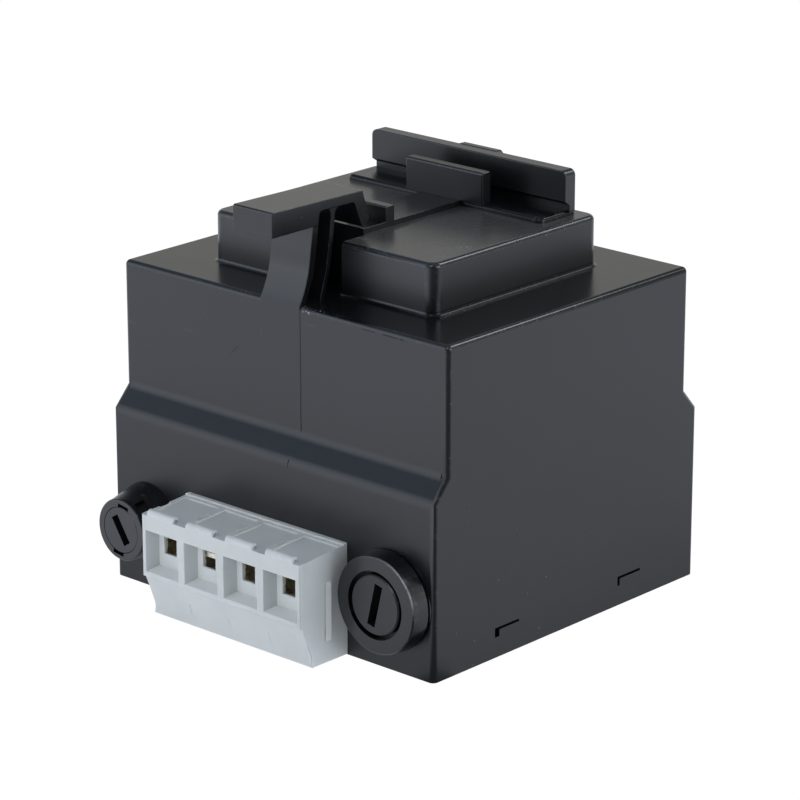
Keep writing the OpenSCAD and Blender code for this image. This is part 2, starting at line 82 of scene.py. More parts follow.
# ------------------------------------------------------------------ node helpers
class Tree:
    """Short forms for building a node tree."""

    def __init__(self, tree):
        self.t = tree
        tree.nodes.clear()

    def add(self, kind, **kw):
        n = self.t.nodes.new(kind)
        for k, v in kw.items():
            setattr(n, k, v)
        return n

    def put(self, sock, v):
        if isinstance(v, bpy.types.NodeSocket):
            self.t.links.new(v, sock)
        elif isinstance(v, (tuple, list)) and len(v) == 3 and sock.type == "RGBA":
            sock.default_value = (*v, 1)
        else:
            sock.default_value = v

    def math(self, op, a, b=0.0, c=0.0, clamp=False):
        n = self.add("ShaderNodeMath", operation=op, use_clamp=clamp)
        for i, v in enumerate((a, b, c)):
            self.put(n.inputs[i], v)
        return n.outputs[0]

    def vec(self, op, a, b=(0, 0, 0)):
        n = self.add("ShaderNodeVectorMath", operation=op)
        self.put(n.inputs[0], a)
        self.put(n.inputs[1], b)
        return n.outputs["Value"] if op in ("DOT_PRODUCT", "LENGTH", "DISTANCE") else n.outputs[0]

    def step(self, v, lo, hi):
        """0 below lo, 1 above hi, smooth between (or the other way round)."""
        n = self.add("ShaderNodeMapRange", interpolation_type="SMOOTHSTEP")
        self.put(n.inputs["Value"], v)
        a, b = (0.0, 1.0) if lo < hi else (1.0, 0.0)
        for k, x in (("From Min", min(lo, hi)), ("From Max", max(lo, hi)), ("To Min", a), ("To Max", b)):
            n.inputs[k].default_value = x
        return n.outputs[0]

    def span(self, v, lo, hi, a, b):
        n = self.add("ShaderNodeMapRange")
        self.put(n.inputs["Value"], v)
        for k, x in (("From Min", lo), ("From Max", hi), ("To Min", a), ("To Max", b)):
            n.inputs[k].default_value = x
        return n.outputs[0]

    def mix(self, f, a, b):
        n = self.add("ShaderNodeMix", data_type="RGBA")
        for i, v in ((0, f), (6, a), (7, b)):
            self.put(n.inputs[i], v)
        return n.outputs[2]

    def xyz(self, v):
        n = self.add("ShaderNodeSeparateXYZ")
        self.put(n.inputs[0], v)
        return n.outputs[0], n.outputs[1], n.outputs[2]

    def stretch(self, v, s):
        n = self.add("ShaderNodeMapping")
        self.put(n.inputs["Vector"], v)
        n.inputs["Scale"].default_value = s
        return n.outputs[0]

    def noise(self, v, scale, detail=2.0, rough=0.5, warp=0.0):
        n = self.add("ShaderNodeTexNoise")
        self.put(n.inputs["Vector"], v)
        n.inputs["Scale"].default_value = scale
        n.inputs["Detail"].default_value = detail
        n.inputs["Roughness"].default_value = rough
        n.inputs["Distortion"].default_value = warp
        return n.outputs[0]

    def cells(self, v, scale):
        n = self.add("ShaderNodeTexVoronoi")
        self.put(n.inputs["Vector"], v)
        n.inputs["Scale"].default_value = scale
        return n.outputs["Distance"], n.outputs["Color"]

    def bands(self, v, scale, axis="X", warp=0.0, detail=1.0):
        n = self.add("ShaderNodeTexWave", bands_direction=axis)
        self.put(n.inputs["Vector"], v)
        n.inputs["Scale"].default_value = scale
        n.inputs["Distortion"].default_value = warp
        n.inputs["Detail"].default_value = detail
        return n.outputs["Fac"]


class Mat(Tree):
    def __init__(self, name):
        self.m = bpy.data.materials.new(name)
        self.m.use_nodes = True
        super().__init__(self.m.node_tree)
        out = self.add("ShaderNodeOutputMaterial")
        self.b = self.add("ShaderNodeBsdfPrincipled")
        self.t.links.new(self.b.outputs[0], out.inputs["Surface"])
        self.co = self.add("ShaderNodeTexCoord").outputs["Object"]
        self.n = None

    def set(self, **kw):
        for k, v in kw.items():
            self.put(self.b.inputs[k.replace("_", " ")], v)

    def edge(self):
        return self.add("ShaderNodeAttribute", attribute_name="edge").outputs["Fac"]

    def bump(self, height, size, strength=1.0):
        n = self.add("ShaderNodeBump")
        n.inputs["Strength"].default_value = strength
        n.inputs["Distance"].default_value = size
        self.put(n.inputs["Height"], height)
        if self.n is not None:
            self.put(n.inputs["Normal"], self.n)
        self.n = n.outputs[0]
        self.put(self.b.inputs["Normal"], self.n)

    def specks(self, scale, radius, share, where=None):
        """Sparse small dots: 1 on a dot."""
        d, c = self.cells(self.co, scale)
        pick = self.math("GREATER_THAN", self.xyz(c)[0], 1 - share)
        size = self.math("MULTIPLY", self.xyz(c)[1], radius)
        dot = self.math("MULTIPLY", self.math("LESS_THAN", d, size), pick)
        return dot if where is None else self.math("MULTIPLY", dot, where)

    def near(self, point, r0, r1):
        return self.step(self.vec("DISTANCE", self.co, point), r1, r0)


# ------------------------------------------------------------------ light
world = bpy.data.worlds.new("studio")
scene.world = world
world.use_nodes = True
W = Tree(world.node_tree)
wo = W.add("ShaderNodeOutputWorld")
bg = W.add("ShaderNodeBackground")
wdir = W.add("ShaderNodeTexCoord").outputs["Generated"]
cr = W.add("ShaderNodeValToRGB")
e = cr.color_ramp.elements
e[0].position, e[0].color = 0.0, (1.0, 1.0, 1.0, 1)
e[1].position, e[1].color = 1.0, (0.46, 0.49, 0.54, 1)
for p, c in ((0.10, (0.60, 0.605, 0.585, 1)), (0.32, (0.56, 0.565, 0.51, 1)), (0.50, (0.40, 0.43, 0.47, 1)), (0.66, (0.24, 0.29, 0.38, 1)), (0.80, (0.30, 0.34, 0.42, 1))):
    k = e.new(p)
    k.color = c
wx, wy, wz = W.xyz(wdir)
W.put(cr.inputs[0], wz)


def blob(direction, half, soft, colour):
    """A soft round light in the studio, seen along a direction."""
    d = Vector(direction).normalized()
    f = W.step(W.vec("DOT_PRODUCT", wdir, tuple(d)), math.cos(math.radians(half + soft)), math.cos(math.radians(half)))
    return W.mix(f, (0, 0, 0), colour)


# the side the picture is taken from is dim
flat = W.vec("NORMALIZE", W.vec("MULTIPLY", wdir, (1, 1, 0)))
dim = W.step(W.vec("DOT_PRODUCT", flat, (0.673, -0.74, 0)), 0.35, 0.9)
low = W.step(wz, 0.75, 0.3)
sky = W.mix(W.math("MULTIPLY", dim, low), cr.outputs[0], (0.16, 0.17, 0.19))


def plus(a, b):
    n = W.add("ShaderNodeMix", data_type="RGBA", blend_type="ADD")
    n.inputs[0].default_value = 1.0
    W.put(n.inputs[6], a)
    W.put(n.inputs[7], b)
    return n.outputs[2]


sky = plus(sky, blob((-0.66, -0.74, 0.16), 14, 16, (0.92, 1.04, 1.24)))
sky = plus(sky, blob((0.36, 0.64, 0.68), 5, 7, (8.5, 8.7, 8.6)))
sky = plus(sky, blob((0.955, 0.10, 0.28), 12, 10, (3.05, 3.3, 3.75)))
sky = plus(sky, blob((-0.63, -0.50, 0.595), 9, 11, (0.12, 0.20, 0.34)))
sky = plus(sky, blob((0.33, -0.65, 0.65), 5, 5, (7.0, 7.1, 7.3)))
W.put(bg.inputs["Color"], sky)
W.t.links.new(bg.outputs[0], wo.inputs["Surface"])


def plane(name, z, r=6.0):
    me = bpy.data.meshes.new(name)
    me.from_pydata([(-r, -r, z), (r, -r, z), (r, r, z), (-r, r, z)], [], [(0, 1, 2, 3)])
    o = bpy.data.objects.new(name, me)
    scene.collection.objects.link(o)
    return o


def glow(name):
    m = bpy.data.materials.new(name)
    m.use_nodes = True
    t = Tree(m.node_tree)
    out = t.add("ShaderNodeOutputMaterial")
    e = t.add("ShaderNodeEmission")
    t.t.links.new(e.outputs[0], out.inputs["Surface"])
    return m, t, e


# paper sweep as the lens sees it, and the same sweep as the object sees it
paper = plane("paper", -0.0004)
m, t, e = glow("paper_white")
e.inputs["Color"].default_value = (1, 1, 1, 1)
e.inputs["Strength"].default_value = 1.02
paper.data.materials.append(m)
paper.visible_diffuse = paper.visible_glossy = paper.visible_transmission = False
paper.visible_shadow = False

table = plane("table", -0.0008)
m, t, e = glow("table_light")
co = t.add("ShaderNodeTexCoord").outputs["Object"]
ax, ay, _ = t.xyz(t.vec("ABSOLUTE", co))
dx = t.math("SUBTRACT", ax, 0.0403)
dy = t.math("SUBTRACT", ay, 0.0370)
gap = t.math("MAXIMUM", t.math("MAXIMUM", dx, dy), 0.0)
# painted shadow: the table glows less near the box's footprint, standing in for the box's shadow on it
box_painted_shadow = t.math("POWER", 2.718, t.math("MULTIPLY", gap, -1 / 0.060))
away = t.vec("NORMALIZE", t.vec("MULTIPLY", t.vec("SUBTRACT", co, (0.034, -0.031, 0)), (1, 1, 0)))
dim = t.step(t.vec("DOT_PRODUCT", away, (0.788, -0.616, 0)), 0.58, 0.86)
lum = t.math("MULTIPLY", t.math("SUBTRACT", 1.06, t.math("MULTIPLY", box_painted_shadow, 0.47)), t.span(dim, 0, 1, 1.0, 0.26))
# a little brighter towards the front left
lum = t.math("MULTIPLY", lum, t.span(t.step(t.vec("DOT_PRODUCT", co, (-0.64, -0.70, 0)), -0.16, 0.14), 0, 1, 0.95, 1.16))
for spot, r0, r1, gain in (((-0.055, -0.170, 0), 0.025, 0.085, 0.28), ((-0.095, -0.088, 0), 0.010, 0.045, -0.12)):
    f = t.step(t.vec("DISTANCE", co, spot), r1, r0)
    lum = t.math("MULTIPLY", lum, t.math("ADD", 1.0, t.math("MULTIPLY", f, gain)))
e.inputs["Color"].default_value = (0.93, 0.98, 1.10, 1)
t.put(e.inputs["Strength"], lum)
table.data.materials.append(m)
table.visible_camera = False


# ------------------------------------------------------------------ materials
def moulded(name, lo, hi, rough, grain, dust=0.05, wear=0.35, level=None, crisp=0.0):
    """Black moulded plastic: cloudy colour, fine mould grain, dust, scuffed edges."""
    m = Mat(name)
    cloud = m.noise(m.co, 55, 3, 0.55)
    patch = m.noise(m.co, 320, 3, 0.6)
    fine = m.noise(m.co, 2300, 2, 0.6)
    tone = m.math("ADD", m.math("MULTIPLY", cloud, 0.6), m.math("MULTIPLY", patch, 0.4))
    col = m.mix(m.step(tone, 0.3, 0.7), lo, hi)
    edge = m.edge()
    scuff = m.math("MULTIPLY", edge, m.step(m.noise(m.co, 780, 4, 0.7), 0.56, 0.72))
    col = m.mix(m.math("MULTIPLY", scuff, wear), col, (0.10, 0.103, 0.108))
    lint = m.step(m.noise(m.co, 38, 2), 0.46, 0.62)
    dots = m.specks(620, 0.075, dust, lint)
    tiny = m.specks(1500, 0.09, dust * 0.6, lint)
    dots = m.math("MAXIMUM", dots, tiny)
    streak = m.noise(m.stretch(m.co, (90, 2600, 420)), 1, 2, 0.5)
    rub = m.math("MULTIPLY", m.step(streak, 0.70, 0.76), m.step(m.noise(m.co, 70, 1), 0.52, 0.66))
    col = m.mix(m.math("MULTIPLY", rub, 0.14), col, (0.08, 0.082, 0.085))
    col = m.mix(m.math("MULTIPLY", dots, 0.55), col, (0.33, 0.335, 0.34))
    r = m.span(m.math("ADD", m.math("MULTIPLY", cloud, 0.5), m.math("MULTIPLY", patch, 0.5)), 0.3, 0.7, rough - 0.02, rough + 0.02)
    if level is not None:
        # faces that look up came off the polished side of the mould
        up = m.xyz(m.add("ShaderNodeNewGeometry").outputs["True Normal"])[2]
        r = m.math("ADD", r, m.math("MULTIPLY", m.step(up, 0.6, 0.95), level - rough))
    r = m.math("SUBTRACT", r, m.math("MULTIPLY", edge, crisp))
    r = m.math("ADD", r, m.math("MULTIPLY", rub, -0.06))
    r = m.math("ADD", r, m.math("MULTIPLY", dots, 0.25), clamp=True)
    m.set(Base_Color=col, Roughness=r)
    m.b.inputs["IOR"].default_value = 1.55
    m.bump(fine, grain)
    m.bump(m.noise(m.co, 140, 2), 0.5e-5)
    m.bump(dots, 1.5e-5)
    return m


def finish_mat(m):
    return m.m


box_m = moulded("box_plastic", (0.0034, 0.0037, 0.0044), (0.0056, 0.0059, 0.0066), 0.36, 4e-6, level=0.245, crisp=0.09)
# hairline where the two halves of the mould met, down the front wall
x, y, z = box_m.xyz(box_m.co)
wob = box_m.math("MULTIPLY", box_m.math("SUBTRACT", box_m.noise(box_m.co, 160, 2), 0.5), 0.00035)
line = box_m.step(box_m.math("ABSOLUTE", box_m.math("SUBTRACT", box_m.math("ADD", x, wob), 0.00505)), 0.00014, 0.00004)
line = box_m.math("MULTIPLY", line, box_m.step(y, -0.0330, -0.0332))
line = box_m.math("MULTIPLY", line, box_m.math("MAXIMUM", box_m.step(z, 0.0376, 0.0384), box_m.math("MULTIPLY", box_m.step(z, 0.0338, 0.0334), box_m.step(z, 0.0318, 0.0326))))
box_m.bump(box_m.math("MULTIPLY", line, -1.0), 4e-5)


def stroke(m, u, v, a, b, width):
    """1 along a straight scratch from a to b in the (u, v) plane of a wall."""
    (u0, v0), (u1, v1) = a, b
    size = math.hypot(u1 - u0, v1 - v0)
    du, dv = (u1 - u0) / size, (v1 - v0) / size
    pu, pv = m.math("SUBTRACT", u, u0), m.math("SUBTRACT", v, v0)
    along = m.math("ADD", m.math("MULTIPLY", pu, du), m.math("MULTIPLY", pv, dv))
    side = m.math("SUBTRACT", m.math("MULTIPLY", pu, dv), m.math("MULTIPLY", pv, du))
    f = m.step(m.math("ABSOLUTE", side), width, width * 0.35)
    return m.math("MULTIPLY", f, m.math("MULTIPLY", m.step(along, 0.0, size * 0.15), m.step(along, size, size * 0.85)))


wall = box_m.step(y, -0.0326, -0.0330)
gouge = box_m.math("MULTIPLY", stroke(box_m, x, z, (-0.0127, 0.0489), (-0.0104, 0.0511), 0.00010), wall)
nib = box_m.math("MULTIPLY", stroke(box_m, x, z, (0.0192, 0.06050), (0.0318, 0.06044), 0.00014), wall)
nib = box_m.math("MULTIPLY", nib, box_m.step(box_m.noise(box_m.co, 620, 2), 0.36, 0.52))
flank = box_m.step(x, 0.0399, 0.0402)
hair = box_m.math("MULTIPLY", stroke(box_m, y, z, (-0.0156, 0.0186), (-0.0168, 0.0125), 0.00012), flank)
dark = box_m.math("MAXIMUM", box_m.math("MAXIMUM", line, box_m.math("MULTIPLY", gouge, 0.7)), box_m.math("MULTIPLY", nib, 0.9))
facing = box_m.xyz(box_m.add("ShaderNodeNewGeometry").outputs["True Normal"])
# painted shade: the back of the notch behind the latch loses nearly all its reflection, so it reads black
notch_painted_shade = box_m.math("MULTIPLY", box_m.step(y, -0.0162, -0.0164), box_m.step(y, -0.0176, -0.0172))
notch_painted_shade = box_m.math("MULTIPLY", notch_painted_shade, box_m.math("MULTIPLY", box_m.step(z, 0.07232, 0.07225), box_m.step(box_m.math("ABSOLUTE", x), 0.0057, 0.0055)))
notch_painted_shade = box_m.math("MULTIPLY", notch_painted_shade, box_m.step(facing[1], -0.5, -0.8))
# painted shade: the root of the platform on its right loses much of its reflection
root = box_m.math("MULTIPLY", box_m.step(z, 0.0626, 0.0622), box_m.step(z, 0.06148, 0.06156))
root = box_m.math("MULTIPLY", root, box_m.math("MULTIPLY", box_m.step(facing[0], 0.12, 0.3), 0.72))
# the right upper edge gets duller towards the back: painted shade, its reflection fades out towards the back
far_edge_painted_shade = box_m.math("MULTIPLY", box_m.math("MULTIPLY", box_m.step(z, 0.0603, 0.0606), box_m.step(z, 0.0618, 0.0616)), box_m.step(x, 0.0390, 0.0394))
far_edge_painted_shade = box_m.math("MULTIPLY", far_edge_painted_shade, box_m.math("MULTIPLY", box_m.step(facing[0], 0.1, 0.25), box_m.math("MULTIPLY", box_m.step(y, -0.022, 0.020), 0.62)))
# painted shade: the rounded brim of the plate under the hooked bar loses much of its reflection
brim_painted_shade = box_m.math("MULTIPLY", box_m.math("MULTIPLY", box_m.step(z, 0.0715, 0.0717), box_m.step(z, 0.0727, 0.0725)), box_m.math("MULTIPLY", box_m.step(facing[2], 0.1, 0.25), box_m.step(facing[2], 0.985, 0.94)))
brim_painted_shade = box_m.math("MULTIPLY", brim_painted_shade, box_m.math("MULTIPLY", box_m.step(y, 0.0090, 0.0096), 0.65))
box_m.put(box_m.b.inputs["Specular IOR Level"], box_m.math("MULTIPLY", box_m.math("SUBTRACT", 0.5, box_m.math("MULTIPLY", dark, 0.36)), box_m.math("SUBTRACT", 1.0, box_m.math("MULTIPLY", box_m.math("MAXIMUM", box_m.math("MAXIMUM", notch_painted_shade, far_edge_painted_shade), box_m.math("MAXIMUM", root, brim_painted_shade)), 0.95))))
# the top of the platform is duller than the rest
deck = box_m.math("MULTIPLY", box_m.step(facing[2], 0.9, 0.97), box_m.math("MULTIPLY", box_m.step(z, 0.0710, 0.0712), box_m.step(z, 0.0718, 0.0716)))
box_m.set(Roughness=box_m.math("ADD", box_m.b.inputs["Roughness"].links[0].from_socket, box_m.math("MULTIPLY", deck, 0.03)))
old = box_m.b.inputs["Base Color"].links[0].from_socket
fleck = box_m.step(box_m.noise(box_m.co, 1900, 2, 0.6), 0.60, 0.66)
rim = box_m.math("MULTIPLY", box_m.step(z, 0.0604, 0.0608), box_m.step(y, -0.0322, -0.0327))
rim = box_m.math("MULTIPLY", rim, box_m.math("MAXIMUM", box_m.near((0.0080, -0.0333, 0.0613), 0.001, 0.0034), box_m.near((0.0255, -0.0334, 0.0604), 0.0001, 0.0006)))
chips_and_painted_light = box_m.math("MULTIPLY", fleck, rim)
rub = box_m.math("MAXIMUM", box_m.near((0.0240, -0.0110, 0.0713), 0.0004, 0.0022), box_m.near((0.0226, -0.0136, 0.0713), 0.0001, 0.0011))
rub = box_m.math("MAXIMUM", rub, box_m.near((0.0137, -0.0227, 0.0711), 0.0001, 0.0007))
rub = box_m.math("MAXIMUM", rub, box_m.near((-0.0004, 0.0102, 0.0783), 0.0002, 0.0009))
chips_and_painted_light = box_m.math("MAXIMUM", chips_and_painted_light, box_m.math("MULTIPLY", box_m.math("MULTIPLY", box_m.step(box_m.noise(box_m.co, 2600, 3, 0.65), 0.58, 0.66), rub), 0.6))
# painted light: the platform's front wall is made lighter, more so towards its top
wall_painted_light = box_m.math("MULTIPLY", box_m.step(y, -0.0222, -0.0227), box_m.math("MULTIPLY", box_m.step(z, 0.0615, 0.0680), box_m.step(y, -0.0245, -0.0240)))
wall_painted_light = box_m.math("MULTIPLY", wall_painted_light, box_m.span(box_m.noise(box_m.co, 120, 3), 0.3, 0.7, 0.75, 1.1))
chips_and_painted_light = box_m.math("MAXIMUM", chips_and_painted_light, box_m.math("MULTIPLY", wall_painted_light, 0.056))
chips_and_painted_light = box_m.math("MAXIMUM", chips_and_painted_light, box_m.math("MULTIPLY", hair, 0.022))
# painted sheen: the top of the platform is mixed a little towards a lighter warm grey
deck_painted_sheen = box_m.math("MULTIPLY", box_m.math("MULTIPLY", deck, 0.10), box_m.span(box_m.noise(box_m.co, 90, 3), 0.3, 0.7, 0.8, 1.15))
old = box_m.mix(deck_painted_sheen, old, (0.45, 0.43, 0.40))
# chips, rubbed spots and the flank hairline, with the painted light on the platform wall, go towards light grey
box_m.set(Base_Color=box_m.mix(chips_and_painted_light, box_m.mix(box_m.math("MULTIPLY", dark, 0.9), old, (0.002, 0.002, 0.0025)), (0.42, 0.43, 0.44)))

latch_m = moulded("latch_plastic", (0.0036, 0.0040, 0.0048), (0.0058, 0.0062, 0.0070), 0.25, 3.5e-6, dust=0.07, level=0.21, crisp=0.03)
holder_m = moulded("holder_plastic", (0.0030, 0.0032, 0.0037), (0.0048, 0.0050, 0.0056), 0.22, 3e-6, dust=0.05)
holder_m.b.inputs["IOR"].default_value = 1.6
# painted highlight on the upper right of the wide collar's rim
ny = holder_m.xyz(holder_m.add("ShaderNodeNewGeometry").outputs["True Normal"])[1]
rim = holder_m.math("MULTIPLY", holder_m.near((0.0372, -0.0411, 0.0200), 0.0030, 0.0080), holder_m.math("MULTIPLY", holder_m.step(ny, -0.15, -0.3), holder_m.step(ny, -0.985, -0.95)))
rim = holder_m.math("MULTIPLY", rim, holder_m.span(holder_m.noise(holder_m.co, 700, 3, 0.6), 0.3, 0.7, 0.55, 1.0))
holder_m.set(Base_Color=holder_m.mix(rim, holder_m.b.inputs["Base Color"].links[0].from_socket, (0.30, 0.30, 0.31)))
cap_m = moulded("cap_plastic", (0.0050, 0.0053, 0.0060), (0.0085, 0.0088, 0.0096), 0.40, 6e-6, dust=0.16)
cap_m.b.inputs["IOR"].default_value = 1.6
# the slim left holder: a copy of the holder plastic with a stronger reflection, painted light that brightens its front
slim_m = moulded("holder_plastic_slim", (0.0034, 0.0037, 0.0043), (0.0054, 0.0057, 0.0064), 0.30, 3e-6, dust=0.05)
slim_m.b.inputs["IOR"].default_value = 1.72
# painted shade: its barrel reflects less than its front, so it reads darker
ahead = slim_m.step(slim_m.xyz(slim_m.add("ShaderNodeNewGeometry").outputs["True Normal"])[1], -0.75, -0.95)
slim_m.put(slim_m.b.inputs["Specular IOR Level"], slim_m.span(ahead, 0, 1, 0.20, 0.5))
# the left cap: a copy of the cap plastic with a stronger reflection, painted light
knob_m = moulded("cap_plastic_slim", (0.0040, 0.0043, 0.0050), (0.0064, 0.0067, 0.0075), 0.34, 4e-6, dust=0.10)
knob_m.b.inputs["IOR"].default_value = 1.72


def grey_plastic():
    m = Mat("terminal_plastic")
    cloud = m.noise(m.co, 90, 3, 0.55)
    fine = m.noise(m.co, 2600, 2, 0.6)
    col = m.mix(m.step(cloud, 0.3, 0.7), (0.650, 0.672, 0.640), (0.71, 0.73, 0.695))
    edge = m.edge()
    rub = m.math("MULTIPLY", edge, m.step(m.noise(m.co, 420, 3, 0.6), 0.35, 0.65))
    col = m.mix(m.math("MULTIPLY", rub, 0.45), col, (0.78, 0.80, 0.80))
    smear = m.math("MULTIPLY", m.step(m.noise(m.stretch(m.co, (260, 260, 900)), 1, 3, 0.6), 0.60, 0.74), 0.10)
    col = m.mix(smear, col, (0.36, 0.37, 0.36))
    dots = m.specks(900, 0.09, 0.05)
    col = m.mix(m.math("MULTIPLY", dots, 0.5), col, (0.25, 0.25, 0.24))
    # painted shade: the top and the funnel walls that face right are made a darker grey
    nx, ny, nz = m.xyz(m.add("ShaderNodeNewGeometry").outputs["True Normal"])
    funnel_and_top_painted_shade = m.math("MAXIMUM", m.math("MULTIPLY", m.math("MULTIPLY", m.step(nx, 0.7, 0.8), m.step(ny, -0.3, -0.42)), 0.58), m.math("MULTIPLY", m.math("MULTIPLY", m.step(nz, 0.8, 0.95), m.step(m.xyz(m.co)[2], 0.0175, 0.0185)), 0.18))
    col = m.mix(funnel_and_top_painted_shade, col, (0.36, 0.385, 0.39))
    m.set(Base_Color=col, Roughness=m.span(cloud, 0.3, 0.7, 0.42, 0.54))
    m.b.inputs["IOR"].default_value = 1.5
    m.bump(fine, 4e-6)
    m.bump(m.noise(m.co, 260, 2), 1.0e-5)
    return m


grey_m = grey_plastic()


def metal(name, lo, hi, rough, brush=(2600, 160, 160), tarnish=None, grain=3e-6):
    m = Mat(name)
    lines = m.noise(m.stretch(m.co, brush), 1, 3, 0.6)
    cloud = m.noise(m.co, 240, 3, 0.6)
    col = m.mix(m.step(m.math("ADD", m.math("MULTIPLY", lines, 0.5), m.math("MULTIPLY", cloud, 0.5)), 0.3, 0.7), lo, hi)
    if tarnish:
        col = m.mix(m.step(m.noise(m.co, 760, 4, 0.7), 0.48, 0.62), col, tarnish)
    m.set(Base_Color=col, Roughness=m.span(m.math("ADD", m.math("MULTIPLY", lines, 0.6), m.math("MULTIPLY", cloud, 0.4)), 0.3, 0.7, rough - 0.08, rough + 0.1))
    m.b.inputs["Metallic"].default_value = 1.0
    m.bump(lines, grain)
    return m


cage_m = metal("cage_metal", (0.70, 0.65, 0.52), (0.90, 0.86, 0.72), 0.30, tarnish=(0.42, 0.35, 0.20), grain=1.2e-5)
screw_m = metal("screw_steel", (0.50, 0.51, 0.53), (0.66, 0.67, 0.69), 0.32, tarnish=(0.42, 0.41, 0.36))
bar_m = metal("tinned_bar", (0.70, 0.68, 0.60), (0.90, 0.88, 0.80), 0.34, tarnish=(0.40, 0.36, 0.27), grain=1.2e-5)
end_m = metal("fuse_end_metal", (0.62, 0.61, 0.58), (0.76, 0.75, 0.72), 0.22, brush=(160, 2600, 160))
wire_m = metal("fuse_wire_metal", (0.60, 0.60, 0.60), (0.74, 0.74, 0.74), 0.3, brush=(160, 2600, 160))
brass_m = metal("contact_brass", (0.60, 0.45, 0.20), (0.74, 0.58, 0.29), 0.32, tarnish=(0.42, 0.30, 0.14))


def glass():
    m = Mat("fuse_glass")
    smear = m.noise(m.co, 260, 3, 0.6)
    m.set(Base_Color=m.mix(m.step(smear, 0.4, 0.7), (0.94, 0.97, 0.97), (0.86, 0.92, 0.92)), Roughness=m.span(smear, 0.3, 0.7, 0.02, 0.09))
    m.b.inputs["Transmission Weight"].default_value = 1.0
    m.b.inputs["IOR"].default_value = 1.5
    return m


def core_steel():
    m = Mat("core_steel")
    sheet = m.bands(m.co, 314, "Z", 0.4)
    cloud = m.noise(m.co, 150, 3, 0.6)
    col = m.mix(m.step(sheet, 0.25, 0.75), (0.13, 0.135, 0.145), (0.27, 0.28, 0.30))
    col = m.mix(m.math("MULTIPLY", m.step(cloud, 0.52, 0.7), 0.5), col, (0.22, 0.15, 0.09))
    m.set(Base_Color=col, Roughness=m.span(cloud, 0.3, 0.7, 0.38, 0.6))
    m.b.inputs["Metallic"].default_value = 0.75
    m.bump(sheet, 4e-5)
    return m


def bobbin_plastic():
    m = Mat("bobbin_plastic")
    cloud = m.noise(m.co, 120, 3, 0.6)
    m.set(Base_Color=m.mix(m.step(cloud, 0.3, 0.7), (0.60, 0.55, 0.42), (0.68, 0.63, 0.50)), Roughness=m.span(cloud, 0.3, 0.7, 0.35, 0.5))
    m.bump(m.noise(m.co, 1800, 2), 5e-6)
    return m


def tape():
    m = Mat("coil_tape")
    turns = m.bands(m.co, 26, "Y", 0.6)
    wrinkle = m.noise(m.stretch(m.co, (320, 900, 320)), 1, 3, 0.6)
    m.set(Base_Color=m.mix(m.step(m.math("ADD", m.math("MULTIPLY", turns, 0.3), m.math("MULTIPLY", wrinkle, 0.7)), 0.3, 0.7), (0.58, 0.42, 0.10), (0.72, 0.56, 0.19)), Roughness=m.span(wrinkle, 0.3, 0.7, 0.22, 0.4))
    m.b.inputs["Coat Weight"].default_value = 0.3
    m.bump(turns, 6e-5)
    m.bump(wrinkle, 5e-5)
    return m


def copper():
    m = Mat("copper_wire")
    turns = m.bands(m.co, 420, "Y", 0.5)
    cloud = m.noise(m.co, 300, 3, 0.6)
    m.set(Base_Color=m.mix(m.step(m.math("ADD", m.math("MULTIPLY", turns, 0.6), m.math("MULTIPLY", cloud, 0.4)), 0.25, 0.75), (0.30, 0.10, 0.035), (0.58, 0.25, 0.10)), Roughness=m.span(cloud, 0.3, 0.7, 0.22, 0.36))
    m.b.inputs["Metallic"].default_value = 0.85
    m.bump(turns, 1.2e-4)
    return m


def sleeve(name, lo, hi):
    m = Mat(name)
    cloud = m.noise(m.co, 260, 3, 0.6)
    m.set(Base_Color=m.mix(m.step(cloud, 0.3, 0.7), lo, hi), Roughness=m.span(cloud, 0.3, 0.7, 0.4, 0.55))
    m.bump(m.noise(m.co, 1600, 2), 8e-6)
    return m


lead_m = {"lead_input_fuse": sleeve("lead_brown", (0.16, 0.07, 0.03), (0.22, 0.10, 0.05)), "lead_input_primary": sleeve("lead_blue", (0.03, 0.09, 0.28), (0.05, 0.13, 0.36)), "lead_output_fuse": sleeve("lead_black", (0.012, 0.012, 0.013), (0.022, 0.022, 0.024))}
lead_m["lead_fuse_primary"] = lead_m["lead_input_fuse"]
lead_m["lead_output_secondary"] = lead_m["lead_input_primary"]
lead_m["lead_fuse_secondary"] = lead_m["lead_output_fuse"]
MATS = {"box_plastic": box_m, "latch_plastic": latch_m, "terminal_plastic": grey_m, "cage_metal": cage_m, "screw_steel": screw_m, "tinned_bar": bar_m, "holder_plastic": holder_m, "cap_plastic": cap_m, "fuse_glass": glass(), "fuse_end_metal": end_m, "fuse_wire_metal": wire_m, "contact_brass": brass_m, "core_steel": core_steel(), "bobbin_plastic": bobbin_plastic(), "coil_tape": tape(), "copper_wire": copper()}


